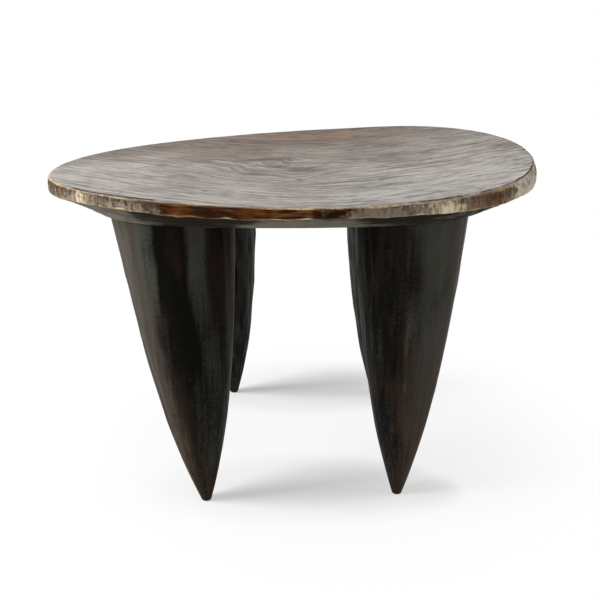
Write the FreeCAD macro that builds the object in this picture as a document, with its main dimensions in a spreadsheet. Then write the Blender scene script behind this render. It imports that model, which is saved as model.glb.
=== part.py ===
import FreeCAD, Part
import os
import Sketcher
from FreeCAD import Vector

# A low four-legged stool: an oval slab on four horn-shaped legs, each held by a blind wedged tenon.
# X runs along the seat, Y from front to rear, Z up from the floor; the seat's oval is centred on Z.

# Lengths in millimetres, angles in degrees; shares and powers are plain numbers.
SIZES = {
    # The rim's oval, seen from above, and where it touches its four sides
    "seat_length": 556,
    "seat_depth": 440,
    "left_touch_y": -38,
    "right_touch_y": 40,
    "front_touch_x": -23,
    "rear_touch_x": 119,
    # How far each quarter of the oval keeps to its side and to its end before it turns the corner
    "rear_left_side": 0.72,
    "rear_left_end": 0.53,
    "rear_right_side": 0.67,
    "rear_right_end": 0.50,
    "front_right_side": 0.57,
    "front_right_end": 0.57,
    "front_left_side": 0.66,
    "front_left_end": 0.51,
    # The underside lies inside the rim, fuller at the corners, where the legs stand
    "bevel_run_ends": 56,
    "bevel_run_sides": 33,
    "bevel_drop": 16,
    "underside_fullness": 0.80,
    # The warped top: the thickness at the corners of the squared plank that the oval is cut from
    "plank_margin": 25,
    "thick_front_left": 34.7,
    "thick_front_right": 21.0,
    "thick_rear_left": 18.9,
    "thick_rear_right": 43.4,
    # Worn edges of the rim
    "top_edge_round": 3,
    "low_edge_round": 2,
    # All legs: height from the floor to the underside, straight taper, how late the tip rounds in, foot
    "leg_height": 332,
    "leg_taper": 0.47,
    "tip_power": 3,
    "foot_radius": 5.3,
    # Each leg: its centre's distance from the seat's end and side, its radius at the underside,
    # and how far its foot stands in along X and out along Y
    "front_left_from_end": 144,
    "front_left_from_side": 112,
    "front_left_radius": 65,
    "front_left_foot_in": 27,
    "front_left_foot_out": 37,
    "front_right_from_end": 159,
    "front_right_from_side": 119,
    "front_right_radius": 61,
    "front_right_foot_in": 7,
    "front_right_foot_out": 30,
    "rear_left_from_end": 161,
    "rear_left_from_side": 135,
    "rear_left_radius": 61,
    "rear_left_foot_in": 22,
    "rear_left_foot_out": 53,
    "rear_right_from_end": 163,
    "rear_right_from_side": 128,
    "rear_right_radius": 59,
    "rear_right_foot_in": 7,
    "rear_right_foot_out": 42,
    # Round tenon that flares towards its end, in a blind mortise of the same flare
    "tenon_radius": 31,
    "tenon_length": 16,
    "tenon_flare": 3,
    "tenon_fit": 0.1,
    "end_gap": 1,
    # Saw cut across the tenon, and the wedge that spreads it
    "kerf_mouth": 6,
    "kerf_root": 2.4,
    "kerf_depth": 12,
    "wedge_width": 54,
    "wedge_fit": 0.05,
}

LEGS = ("front_left", "front_right", "rear_left", "rear_right")

# Places of a leg's cross-sections, as shares of the way from the underside to the floor
LEG_STATIONS = (0, 0.18, 0.36, 0.54, 0.70, 0.84, 0.94, 1)

# Size of a sketch's lines and curves before their sizes are set
ROUGH = 100

doc = FreeCAD.newDocument("stool")


def make_sheet():
    """Put every driving size in its own named cell."""
    sheet = doc.addObject("Spreadsheet::Sheet", "Sizes")
    for row, (name, value) in enumerate(SIZES.items(), start=1):
        sheet.set(f"A{row}", name)
        sheet.set(f"B{row}", str(value))
        sheet.setAlias(f"B{row}", name)
    doc.recompute()


def make_body(label, x, y, z):
    """An empty piece whose origin lies at x, y, z, given as expressions."""
    body = doc.addObject("PartDesign::Body", label)
    body.Label = label
    for axis, place in (("x", x), ("y", y), ("z", z)):
        body.setExpression(f"Placement.Base.{axis}", place)
    return body


def make_sketch(body, name, plane="XY_Plane", offset="0"):
    """A sketch on one of the piece's own origin planes, moved off it by an expression."""
    sketch = body.newObject("Sketcher::SketchObject", name)
    support = next(part for part in body.Origin.OriginFeatures if part.Role == plane)
    sketch.AttachmentSupport = [(support, "")]
    sketch.MapMode = "FlatFace"
    sketch.setExpression("AttachmentOffset.Base.z", offset)
    return sketch


def hold_point(sketch, geometry, point, x, y):
    """Hold a point of the sketch at x, y from the sketch's origin, given as expressions."""
    for direction, expression in (("DistanceX", x), ("DistanceY", y)):
        start = sketch.getPoint(geometry, point)
        value = start.x if direction == "DistanceX" else start.y
        index = sketch.addConstraint(Sketcher.Constraint(direction, -1, 1, geometry, point, value))
        sketch.setExpression(f"Constraints[{index}]", expression)


def add_circle(sketch, x, y, radius):
    """A circle held by its centre and radius."""
    circle = sketch.addGeometry(Part.Circle(Vector(ROUGH, ROUGH, 0), Vector(0, 0, 1), ROUGH))
    hold_point(sketch, circle, 3, x, y)
    index = sketch.addConstraint(Sketcher.Constraint("Radius", circle, ROUGH))
    sketch.setExpression(f"Constraints[{index}]", radius)


def add_polygon(sketch, corners):
    """A closed outline of straight lines, with each corner held by its own x and y expressions."""
    around = Part.makeCircle(ROUGH).discretize(len(corners) + 1)
    lines = [sketch.addGeometry(Part.LineSegment(a, b)) for a, b in zip(around, around[1:])]
    for line, following in zip(lines, lines[1:] + lines[:1]):
        sketch.addConstraint(Sketcher.Constraint("Coincident", line, 2, following, 1))
    for line, (x, y) in zip(lines, corners):
        hold_point(sketch, line, 1, x, y)


def add_oval(sketch, quarters):
    """A closed oval of four cubic curves, with each pole held by its own x and y expressions."""
    curves = []
    for quarter, (start, first_handle, second_handle, end) in enumerate(quarters):
        turn = FreeCAD.Rotation(Vector(0, 0, 1), -90 * quarter)
        rough = [turn * Vector(ROUGH * x, ROUGH * y, 0) for x, y in ((-1, 0), (-1, 0.5), (-0.5, 1), (0, 1))]
        curve = sketch.addGeometry(Part.BSplineCurve(rough, [4, 4], [0, 1], False, 3))
        curves.append(curve)
        for number, pole in enumerate((start, first_handle, second_handle, end)):
            knob = sketch.addGeometry(Part.Circle(rough[number], Vector(0, 0, 1), 1), True)
            sketch.addConstraint(Sketcher.Constraint("Weight", knob, 1.0))
            alignment = "InternalAlignment:Sketcher::BSplineControlPoint"
            sketch.addConstraint(Sketcher.Constraint(alignment, knob, 3, curve, number))
            if pole is not end:
                hold_point(sketch, knob, 3, *pole)
    for curve, following in zip(curves, curves[1:] + curves[:1]):
        sketch.addConstraint(Sketcher.Constraint("Coincident", curve, 2, following, 1))


def oval_quarters(inset_x, inset_y, fullness):
    """Poles of the seat's oval, drawn in along X and Y, quarter by quarter, clockwise from the left."""
    right = f"(Sizes.seat_length / 2 - {inset_x})"
    rear = f"(Sizes.seat_depth / 2 - {inset_y})"
    left, front = f"(-{right})", f"(-{rear})"
    left_touch = (left, "Sizes.left_touch_y")
    rear_touch = ("Sizes.rear_touch_x", rear)
    right_touch = (right, "Sizes.right_touch_y")
    front_touch = ("Sizes.front_touch_x", front)

    def beside(x, touch_y, end_y, quarter):
        return (x, f"{touch_y} + {fullness(quarter, 'side')} * ({end_y} - {touch_y})")

    def along(touch_x, side_x, y, quarter):
        return (f"{touch_x} + {fullness(quarter, 'end')} * ({side_x} - {touch_x})", y)

    return (
        (left_touch, beside(*left_touch, rear, "rear_left"),
         along(rear_touch[0], left, rear, "rear_left"), rear_touch),
        (rear_touch, along(rear_touch[0], right, rear, "rear_right"),
         beside(*right_touch, rear, "rear_right"), right_touch),
        (right_touch, beside(*right_touch, front, "front_right"),
         along(front_touch[0], right, front, "front_right"), front_touch),
        (front_touch, along(front_touch[0], left, front, "front_left"),
         beside(*left_touch, front, "front_left"), left_touch),
    )


def rim_fullness(quarter, place):
    return f"Sizes.{quarter}_{place}"


def underside_fullness(quarter, place):
    return "Sizes.underside_fullness"


def add_feature(body, kind, name, **settings):
    """A feature of the piece with plain settings; expressions are set by the caller."""
    feature = body.newObject(f"PartDesign::{kind}", name)
    for setting, value in settings.items():
        setattr(feature, setting, value)
    return feature


def round_edges(body, name, base, edges, radius):
    """Round the numbered edges of the piece's last feature."""
    names = [f"Edge{number}" for number in edges]
    fillet = add_feature(body, "Fillet", name, Base=(base, names))
    fillet.setExpression("Radius", radius)
    doc.recompute()
    return fillet


def leg_centre(leg):
    """Where a leg meets the underside, set in from the nearest end and side of the seat."""
    along, across = outward(leg)
    x = f"{along}(Sizes.seat_length / 2 - Sizes.{leg}_from_end)"
    y = f"{across}(Sizes.seat_depth / 2 - Sizes.{leg}_from_side)"
    return x, y


def outward(leg):
    """Signs of the two directions that lead from the middle of the seat to a leg."""
    side, end = leg.split("_")
    return ("-" if end == "left" else "+"), ("-" if side == "front" else "+")


def make_seat():
    """The slab: bevelled underside, upright rim, warped top and four blind mortises."""
    body = make_body("seat", "0", "0", "Sizes.leg_height")

    underside = make_sketch(body, "underside_outline")
    add_oval(underside, oval_quarters("Sizes.bevel_run_ends", "Sizes.bevel_run_sides", underside_fullness))
    rim_foot = make_sketch(body, "rim_outline", offset="Sizes.bevel_drop")
    add_oval(rim_foot, oval_quarters("0", "0", rim_fullness))
    doc.recompute()
    add_feature(body, "AdditiveLoft", "bevel", Profile=underside, Sections=[rim_foot], Ruled=True)
    doc.recompute()

    corners = "; ".join(f"Sizes.thick_{leg}" for leg in LEGS)
    blank_top = f"max({corners})"
    rim = add_feature(body, "Pad", "rim", Profile=rim_foot)
    rim.setExpression("Length", f"{blank_top} - Sizes.bevel_drop")
    doc.recompute()

    waste = []
    for end, side in (("left", "-"), ("right", "")):
        reach = f"{side}(Sizes.seat_length / 2 + Sizes.plank_margin)"
        section = make_sketch(body, f"waste_{end}", "YZ_Plane", reach)
        rear = "(Sizes.seat_depth / 2 + Sizes.plank_margin)"
        clear = f"{blank_top} + Sizes.plank_margin"
        add_polygon(section, (
            (f"-{rear}", f"Sizes.thick_front_{end}"),
            (rear, f"Sizes.thick_rear_{end}"),
            (rear, clear),
            (f"-{rear}", clear),
        ))
        waste.append(section)
    doc.recompute()
    top = add_feature(body, "SubtractiveLoft", "warped_top", Profile=waste[0], Sections=[waste[1]], Ruled=True)
    doc.recompute()

    rounded = round_rim(body, top)

    bores = make_sketch(body, "mortise_circles")
    for leg in LEGS:
        add_circle(bores, *leg_centre(leg), "Sizes.tenon_radius + Sizes.tenon_fit")
    doc.recompute()
    solid_volume = rounded.Shape.Volume
    mortises = add_feature(body, "Pocket", "mortises", Profile=bores, Reversed=True)
    mortises.setExpression("Length", "Sizes.tenon_length + Sizes.end_gap")
    mortises.setExpression("TaperAngle", "Sizes.tenon_flare")
    doc.recompute()
    if mortises.Shape.Volume >= solid_volume:
        raise RuntimeError("the mortises cut nothing")
    return body


def round_rim(body, top):
    """Round the rim's two edges, found by the faces that meet along them."""
    faces = top.Shape.Faces
    upper = max(faces, key=lambda face: face.CenterOfMass.z)
    top_edges = [
        number for number, edge in enumerate(top.Shape.Edges, start=1)
        if any(edge.isSame(other) for other in upper.Edges)
    ]
    rounded = round_edges(body, "worn_top_edge", top, top_edges, "Sizes.top_edge_round")
    foot_height = SIZES["bevel_drop"]
    low_edges = [
        number for number, edge in enumerate(rounded.Shape.Edges, start=1)
        if abs(edge.BoundBox.ZMin - foot_height) < 0.01 and abs(edge.BoundBox.ZMax - foot_height) < 0.01
    ]
    return round_edges(body, "worn_low_edge", rounded, low_edges, "Sizes.low_edge_round")


def make_leg(leg):
    """One horn-shaped leg with its flared tenon and the saw cut for the wedge."""
    body = make_body(f"leg_{leg}", *leg_centre(leg), "Sizes.leg_height")
    along, across = outward(leg)
    top_radius = f"Sizes.{leg}_radius"
    sections = []
    for number, station in enumerate(LEG_STATIONS):
        section = make_sketch(body, f"{leg}_section_{number}", offset=f"-Sizes.leg_height * {station}")
        straight = f"{top_radius} * (1 - Sizes.leg_taper * {station})"
        tip_loss = f"({top_radius} * (1 - Sizes.leg_taper) - Sizes.foot_radius)"
        add_circle(
            section,
            f"-({along}Sizes.{leg}_foot_in) * {station}",
            f"{across}Sizes.{leg}_foot_out * {station}",
            f"{straight} - {tip_loss} * {station} ^ Sizes.tip_power",
        )
        sections.append(section)
    doc.recompute()
    add_feature(body, "AdditiveLoft", f"{leg}_horn", Profile=sections[0], Sections=sections[1:])
    doc.recompute()

    stub = make_sketch(body, f"{leg}_tenon_circle")
    add_circle(stub, "0", "0", "Sizes.tenon_radius")
    tenon = add_feature(body, "Pad", f"{leg}_tenon", Profile=stub)
    tenon.setExpression("Length", "Sizes.tenon_length")
    tenon.setExpression("TaperAngle", "Sizes.tenon_flare")
    doc.recompute()

    cut = make_sketch(body, f"{leg}_kerf_outline", "XZ_Plane")
    root = "Sizes.tenon_length - Sizes.kerf_depth"
    add_polygon(cut, (
        ("-Sizes.kerf_mouth / 2", "Sizes.tenon_length"),
        ("-Sizes.kerf_root / 2", root),
        ("Sizes.kerf_root / 2", root),
        ("Sizes.kerf_mouth / 2", "Sizes.tenon_length"),
    ))
    doc.recompute()
    uncut_volume = tenon.Shape.Volume
    kerf = add_feature(body, "Pocket", f"{leg}_kerf", Profile=cut, SideType="Symmetric")
    kerf.setExpression("Length", "4 * Sizes.tenon_radius")
    doc.recompute()
    if kerf.Shape.Volume >= uncut_volume:
        raise RuntimeError(f"the saw cut of {leg} cuts nothing")
    return body


def make_wedge(leg):
    """The wedge in the saw cut: its flanks follow the cut, and its head meets the mortise's blind end."""
    body = make_body(f"wedge_{leg}", *leg_centre(leg), "Sizes.leg_height")
    outline = make_sketch(body, f"{leg}_wedge_outline", "XZ_Plane")
    widening = "(Sizes.kerf_mouth - Sizes.kerf_root) / Sizes.kerf_depth / 2"
    tip = "Sizes.tenon_length - Sizes.kerf_depth + Sizes.wedge_fit"
    tip_half = f"(Sizes.kerf_root / 2 + {widening} * Sizes.wedge_fit - Sizes.wedge_fit)"
    head = "Sizes.tenon_length + Sizes.end_gap"
    head_half = f"(Sizes.kerf_mouth / 2 + {widening} * Sizes.end_gap - Sizes.wedge_fit)"
    add_polygon(outline, (
        (f"-{head_half}", head),
        (f"-{tip_half}", tip),
        (tip_half, tip),
        (head_half, head),
    ))
    doc.recompute()
    wedge = add_feature(body, "Pad", f"{leg}_wedge", Profile=outline, SideType="Symmetric")
    wedge.setExpression("Length", "Sizes.wedge_width")
    doc.recompute()
    return body


def check(pieces):
    """Stop if any step of the model failed or a piece is not a valid solid."""
    for step in doc.Objects:
        if "Invalid" in step.State or "Error" in step.State:
            raise RuntimeError(f"{step.Label} failed: {step.State}")
    for piece in pieces:
        if piece.Shape.isNull() or not piece.Shape.isValid() or len(piece.Shape.Solids) != 1:
            raise RuntimeError(f"{piece.Label} is not one valid solid")


def main():
    make_sheet()
    pieces = [make_seat()]
    pieces += [make_leg(leg) for leg in LEGS]
    pieces += [make_wedge(leg) for leg in LEGS]
    doc.recompute()
    check(pieces)
    os.makedirs("parts", exist_ok=True)
    for piece in pieces:
        piece.Shape.exportStep(f"parts/{piece.Label}.step")
        print(piece.Label, round(piece.Shape.Volume), piece.Shape.BoundBox)


main()
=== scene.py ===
# %% [markdown]
# # A carved stool on four horn legs
#
# The stool is a thick oval slab on four pointed legs. All of it was hewn with an adze, blackened with
# smoke and oil, and then worn pale along the rim by years of use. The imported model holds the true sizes
# and joints. This lesson gives each piece the surface that the tools, the smoke and the wear have left.

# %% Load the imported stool
import math
from collections import namedtuple

import bpy
import numpy as np
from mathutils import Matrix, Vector, noise
from mathutils.bvhtree import BVHTree


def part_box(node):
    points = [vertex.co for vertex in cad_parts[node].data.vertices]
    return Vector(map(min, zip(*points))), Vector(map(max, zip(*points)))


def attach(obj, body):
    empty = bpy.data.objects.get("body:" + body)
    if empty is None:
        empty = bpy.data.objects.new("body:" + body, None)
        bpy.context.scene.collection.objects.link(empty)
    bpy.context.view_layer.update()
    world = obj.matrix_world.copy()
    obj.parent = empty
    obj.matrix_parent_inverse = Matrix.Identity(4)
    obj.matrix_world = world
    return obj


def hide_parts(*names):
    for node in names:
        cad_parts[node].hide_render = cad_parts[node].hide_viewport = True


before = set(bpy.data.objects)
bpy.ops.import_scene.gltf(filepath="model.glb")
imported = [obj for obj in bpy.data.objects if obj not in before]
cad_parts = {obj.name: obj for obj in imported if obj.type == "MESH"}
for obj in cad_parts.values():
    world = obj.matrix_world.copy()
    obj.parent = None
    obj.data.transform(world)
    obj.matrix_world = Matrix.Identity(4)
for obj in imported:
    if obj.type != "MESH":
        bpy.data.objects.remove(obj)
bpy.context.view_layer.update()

# %% [markdown]
# ## Camera
#
# The stool is seen from the front, from a little above. A camera can be aimed by eye until the picture
# looks right, but a fitted one stays right while the pieces change. The picture is square, so one focal
# length in pixels and one dip below the horizon fix the whole view.

# %% Camera
PHOTO_SIDE = 600
FOCAL_PIXELS = 894.8
SENSOR_WIDTH = 36
CAMERA_PLACE = (0, -1.032, 0.563)
CAMERA_DIP = math.radians(19.88)

lens = bpy.data.cameras.new("camera")
lens.sensor_width = SENSOR_WIDTH
lens.lens = FOCAL_PIXELS / PHOTO_SIDE * SENSOR_WIDTH
camera = bpy.data.objects.new("camera", lens)
camera.location = CAMERA_PLACE
camera.rotation_euler = (math.pi / 2 - CAMERA_DIP, 0, 0)
bpy.context.scene.collection.objects.link(camera)
bpy.context.scene.camera = camera
bpy.context.scene.view_settings.view_transform = "Standard"
print("lens", round(lens.lens, 2), "mm")

# %% [markdown]
# ## A short way to write nodes
#
# Materials and Geometry Nodes are trees of small sums. Written link by link they are hard to read, so one
# class stands for the output of a node. Adding or multiplying two of them adds the Math node that does
# it, and `add` makes any other node: first its settings, then the values or wires of its inputs. The short
# functions after the class are the steps that every finish is made of: smooth steps, mixes, stretched
# noise, oval spots, and numbers that the mesh stores at its points.

# %% Node wires


def find_socket(sockets, key):
    """A socket by its place, or by its identifier or name among those in use."""
    if isinstance(key, int):
        return sockets[key]
    return next(s for s in sockets if s.enabled and key in (s.identifier, s.name))


class Wire:
    """The output of a node. Arithmetic on wires adds Math nodes to their tree."""

    def __init__(self, tree, node=None, output=0):
        self.tree = tree
        self.node = node
        self.output = output

    def out(self, output):
        return Wire(self.tree, self.node, output)

    def add(self, kind, settings=None, inputs=None, output=0):
        node = self.tree.nodes.new(kind)
        for name, value in (settings or {}).items():
            setattr(node, name, value)
        for key, value in (inputs or {}).items():
            socket = find_socket(node.inputs, key)
            if isinstance(value, Wire):
                self.tree.links.new(find_socket(value.node.outputs, value.output), socket)
            else:
                socket.default_value = value
        return Wire(self.tree, node, output)

    def maths(self, operation, *values):
        return self.add("ShaderNodeMath", {"operation": operation}, dict(enumerate(values)))

    def __add__(self, other):
        return self.maths("ADD", self, other)

    def __radd__(self, other):
        return self.maths("ADD", other, self)

    def __sub__(self, other):
        return self.maths("SUBTRACT", self, other)

    def __rsub__(self, other):
        return self.maths("SUBTRACT", other, self)

    def __mul__(self, other):
        return self.maths("MULTIPLY", self, other)

    def __rmul__(self, other):
        return self.maths("MULTIPLY", other, self)

    def __truediv__(self, other):
        return self.maths("DIVIDE", self, other)

    def __rtruediv__(self, other):
        return self.maths("DIVIDE", other, self)

    def __pow__(self, other):
        return self.maths("POWER", self, other)

    def __abs__(self):
        return self.maths("ABSOLUTE", self)


def rise(value, low, high):
    """A smooth step: 0 below low, 1 above high."""
    settings = {"interpolation_type": "SMOOTHSTEP", "clamp": True}
    return value.add("ShaderNodeMapRange", settings, {"Value": value, "From Min": low, "From Max": high})


def blend(share, first, second):
    """The first colour where the share is 0, the second where it is 1."""
    colours = {"A": first, "B": second}
    for key, colour in colours.items():
        if not isinstance(colour, Wire):
            colours[key] = (*colour, 1)
    return share.add("ShaderNodeMix", {"data_type": "RGBA"}, {"Factor": share, **colours}, "Result")


def stretch(place, scale, turn=0.0, move=(0, 0, 0)):
    """Coordinates moved, turned about Z and scaled along each axis."""
    inputs = {"Vector": place, "Location": move, "Rotation": (0, 0, turn), "Scale": scale}
    return place.add("ShaderNodeMapping", {}, inputs)


def mottle(place, scale=1.0, detail=3.0, roughness=0.55, distortion=0.0):
    """Soft noise from 0 to 1 at this many waves in a metre."""
    inputs = {"Vector": place, "Scale": scale, "Detail": detail}
    inputs |= {"Roughness": roughness, "Distortion": distortion}
    return place.add("ShaderNodeTexNoise", {}, inputs)


def spot(x, y, centre, size, turn=0.0):
    """1 in the middle of an oval spot, falling smoothly to 0 at its edge."""
    from_x, from_y = x - centre[0], y - centre[1]
    along = (from_x * math.cos(turn) + from_y * math.sin(turn)) / size[0]
    across = (from_y * math.cos(turn) - from_x * math.sin(turn)) / size[1]
    return 1 - rise(along * along + across * across, 0.0, 1.0)


def stored(bench, name):
    """A number that the mesh stores at each of its points."""
    return bench.add("ShaderNodeAttribute", {"attribute_name": name}, output="Fac")


def new_finish(name):
    """An empty material, and the bench that its nodes are added to."""
    material = bpy.data.materials.new(name)
    material.use_nodes = True
    material.node_tree.nodes.clear()
    return material, Wire(material.node_tree)


print("wires ready:", ", ".join(tool.__name__ for tool in (rise, blend, stretch, mottle, spot, stored)))

# %% [markdown]
# ## Floor and light
#
# The stool stands on a white floor with no horizon. A floor that is only bright would also throw light up
# at the stool, so the camera sees it partly as plain white and partly lit. The lit share is greatest where
# the shadows of the feet fall, and fades out round the stool. The main lamp is a large window of light at
# the left, low enough to reach under the seat, so each leg throws its shadow to the right. A broad lamp
# hangs above, and a tall narrow one at the right draws a line of sheen down the far edge of each dark leg.

# %% Floor and light
FLOOR_HALF = 60
FLOOR_TONE = (0.96, 0.96, 0.95)
# Each spot of the floor: its middle, its half sizes along X and Y, and the share of it that is lit
SHADOW_SPOTS = (
    ((-0.02, 0.0), (0.44, 0.40), 0.24),
    ((-0.005, -0.120), (0.25, 0.11), 0.58),
    ((0.005, 0.155), (0.23, 0.12), 0.72),
    ((0.125, -0.128), (0.09, 0.06), 0.50),
    ((0.130, 0.138), (0.09, 0.06), 0.50),
)
WORLD_LIGHT = 0.35
# Each lamp: its name, its place, what it is aimed at, its width and height, and its power in watts
LAMPS = (
    ("left", (-2.2, -0.45, 1.25), (0, 0, 0.25), (1.0, 1.1), 74),
    ("overhead", (0, 0.1, 2.2), (0, 0, 0.2), (1.6, 1.6), 12),
    ("right", (2.1, 0.1, 0.8), (0, 0, 0.2), (0.5, 1.3), 9),
)


def white_to_eye(bench, plain, bright_share=1.0):
    """Mix a shader with plain white where the camera, a mirror or glass looks at it."""
    path = bench.add("ShaderNodeLightPath")
    seen = path.out("Is Camera Ray").maths("MAXIMUM", path.out("Is Camera Ray"), path.out("Is Glossy Ray"))
    seen = seen.maths("MAXIMUM", seen, path.out("Is Transmission Ray"))
    white = bench.add("ShaderNodeEmission", {}, {"Color": (1, 1, 1, 1), "Strength": 1.0})
    return bench.add("ShaderNodeMixShader", {}, {0: seen * bright_share, 1: plain, 2: white})


def make_floor():
    mesh = bpy.data.meshes.new("floor")
    far = FLOOR_HALF
    mesh.from_pydata([(-far, -far, 0), (far, -far, 0), (far, far, 0), (-far, far, 0)], [], [(0, 1, 2, 3)])
    floor = bpy.data.objects.new("floor", mesh)
    bpy.context.scene.collection.objects.link(floor)
    material, bench = new_finish("white floor")
    place = bench.add("ShaderNodeTexCoord", output="Object")
    axes = bench.add("ShaderNodeSeparateXYZ", {}, {0: place})
    x, y = axes.out("X"), axes.out("Y")
    shaded = [spot(x, y, centre, size) * share for centre, size, share in SHADOW_SPOTS]
    lit_share = shaded[0]
    for spot_share in shaded[1:]:
        lit_share = lit_share.maths("MAXIMUM", lit_share, spot_share)
    lit = bench.add("ShaderNodeBsdfDiffuse", {}, {"Color": (*FLOOR_TONE, 1)})
    bench.add("ShaderNodeOutputMaterial", {}, {"Surface": white_to_eye(bench, lit, 1 - lit_share)})
    mesh.materials.append(material)


def make_world():
    world = bpy.data.worlds.new("studio")
    world.use_nodes = True
    world.node_tree.nodes.clear()
    bench = Wire(world.node_tree)
    dim = bench.add("ShaderNodeBackground", {}, {"Color": (1, 1, 1, 1), "Strength": WORLD_LIGHT})
    bench.add("ShaderNodeOutputWorld", {}, {"Surface": white_to_eye(bench, dim)})
    bpy.context.scene.world = world


def hang_lamp(name, place, aim, size, power):
    light = bpy.data.lights.new(name, "AREA")
    light.shape = "RECTANGLE"
    light.size, light.size_y = size
    light.energy = power
    lamp = bpy.data.objects.new(name, light)
    lamp.location = place
    lamp.rotation_euler = (Vector(aim) - Vector(place)).to_track_quat("-Z", "Y").to_euler()
    bpy.context.scene.collection.objects.link(lamp)


make_floor()
make_world()
for lamp in LAMPS:
    hang_lamp(*lamp)
print("floor, world and", len(LAMPS), "lamps")

# %% [markdown]
# ## Blackened wood
#
# Smoke, oil and handling have turned the legs almost black, with a satin skin. Bands of grey run down them:
# smoke, and painted sheen on the sides that face the lamps and on the ridges of the rear legs' cuts. Brown
# wood shows through where they are rubbed, browner towards the floor, and the whole skin is finely marked by
# the tools, along the grain and across it. A painted picture could hold all that, but it would blur from
# close by and fit one leg only. Noise that is stretched along the grain stays sharp and fits all four. The
# bands and the small worn marks belong to one leg and not to the wood, so the mesh stores them at its points,
# and the finish only reads them.

# %% Blackened wood
BLACK_WOOD = (0.0022, 0.0020, 0.0014)
# Grey of smoke, and of the painted sheen on the sides of the legs that face the lamps
SMOKE_AND_SHEEN_GREY = (0.0480, 0.0485, 0.0395)
RUBBED_BROWN = (0.0540, 0.0455, 0.0375)
LOW_BROWN = (0.0550, 0.0400, 0.0265)
RED_WOOD = (0.0180, 0.0100, 0.0066)
WORN_BROWN = (0.060, 0.037, 0.022)
LOW_BROWN_BELOW, RUBBED_BROWN_ABOVE = 0.04, 0.20
LEG_SHINE, LEG_MARK_DEPTH = 0.04, 0.0005


def finish_surface(bench, colour, roughness, specular, height, depth):
    """Close a finish: its colour, roughness and relief; the height is in units of the depth."""
    bumps = {"Strength": 1.0, "Distance": depth, "Height": height}
    relief = bench.add("ShaderNodeBump", {}, bumps, "Normal")
    inputs = {"Base Color": colour, "Roughness": roughness, "Specular IOR Level": specular, "Normal": relief}
    surface = bench.add("ShaderNodeBsdfPrincipled", {}, inputs)
    bench.add("ShaderNodeOutputMaterial", {}, {"Surface": surface})


def blackened_wood():
    material, bench = new_finish("blackened wood")
    place = bench.add("ShaderNodeTexCoord", output="Object")
    ridge, tone = stored(bench, "ridge"), stored(bench, "facet_tone")
    smoke, rubbed, worn = stored(bench, "smoke"), stored(bench, "rubbed"), stored(bench, "worn")

    # Tool marks: along the grain, fine all over, and chatter across it
    grain = mottle(stretch(place, (260, 260, 14)), detail=4)
    cloud = mottle(stretch(place, (26, 26, 11)), detail=4)
    fine = mottle(stretch(place, (420, 420, 300)), detail=3)
    chatter = mottle(stretch(place, (70, 70, 420), move=(4, 2, 7)), detail=2)
    marks = (grain - 0.5) * 0.45 + (fine - 0.5) * 0.40 + (chatter - 0.5) * 0.12

    # Where the skin is grey with smoke and painted sheen, brown where it is rubbed, and red in patches
    grey = rise(smoke * 0.75 + cloud * 0.5 + tone * 0.2 + marks, 0.50, 1.08)
    brown_cloud = mottle(stretch(place, (20, 20, 8), move=(1, 5, 2)), detail=3)
    brown = rise(brown_cloud * 0.5 + rubbed * 0.7 + marks * 0.5, 0.40, 0.80)
    red_cloud = mottle(stretch(place, (34, 34, 10), move=(3.1, 1.7, 0.4)), detail=4)
    red = rise(red_cloud + rubbed * 0.2 + marks * 0.3, 0.55, 0.72)
    height = bench.add("ShaderNodeSeparateXYZ", {}, {0: place}, "Z")
    rubbed_wood = blend(rise(height, LOW_BROWN_BELOW, RUBBED_BROWN_ABOVE), LOW_BROWN, RUBBED_BROWN)
    colour = blend(grey, BLACK_WOOD, blend(brown, SMOKE_AND_SHEEN_GREY, rubbed_wood))
    colour = blend(red * 0.75 * (1 - 0.7 * grey), colour, RED_WOOD)

    # Small worn spots on the ridges, and the marks that one leg has of its own
    spots = rise(mottle(stretch(place, (80, 80, 45)), detail=3) * 0.75 + ridge * 0.3, 0.72, 0.82)
    colour = blend(spots * 0.35, colour, WORN_BROWN)
    colour = blend(rise(worn + marks * 2.0, 0.25, 1.1) * 0.5, colour, WORN_BROWN)

    roughness = 0.36 + 0.16 * grain + 0.12 * cloud
    relief = grain * 0.5 + fine * 0.3 + chatter * 0.2
    finish_surface(bench, colour, roughness, LEG_SHINE, relief, LEG_MARK_DEPTH)
    return material


leg_wood = blackened_wood()
print("finish", leg_wood.name)

# %% [markdown]
# ## The legs
#
# Each leg is a horn: widest under the seat, tapering in a straight line, and rounding in late to a small
# blunt foot. The rule is the same for all four, and only the sizes and the lean differ, so Geometry Nodes
# make them from one tree. A flat grid is rolled up: one of its directions runs round the leg, the other
# from the middle of the foot up the horn, in along the shoulder, and up the tenon. The adze left long flat
# facets, and over them short cuts with a slight hollow. Both come from Voronoi cells on the horn's skin: the
# skin is drawn flat across each cell, and the short cells also sink a little towards their middles.

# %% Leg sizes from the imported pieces
LEGS = ("front_left", "front_right", "rear_left", "rear_right")
TOUCH = 0.0002
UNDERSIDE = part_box("seat")[0].z


def packed_points(node):
    return np.array([v.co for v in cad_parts[node].data.vertices])


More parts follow.
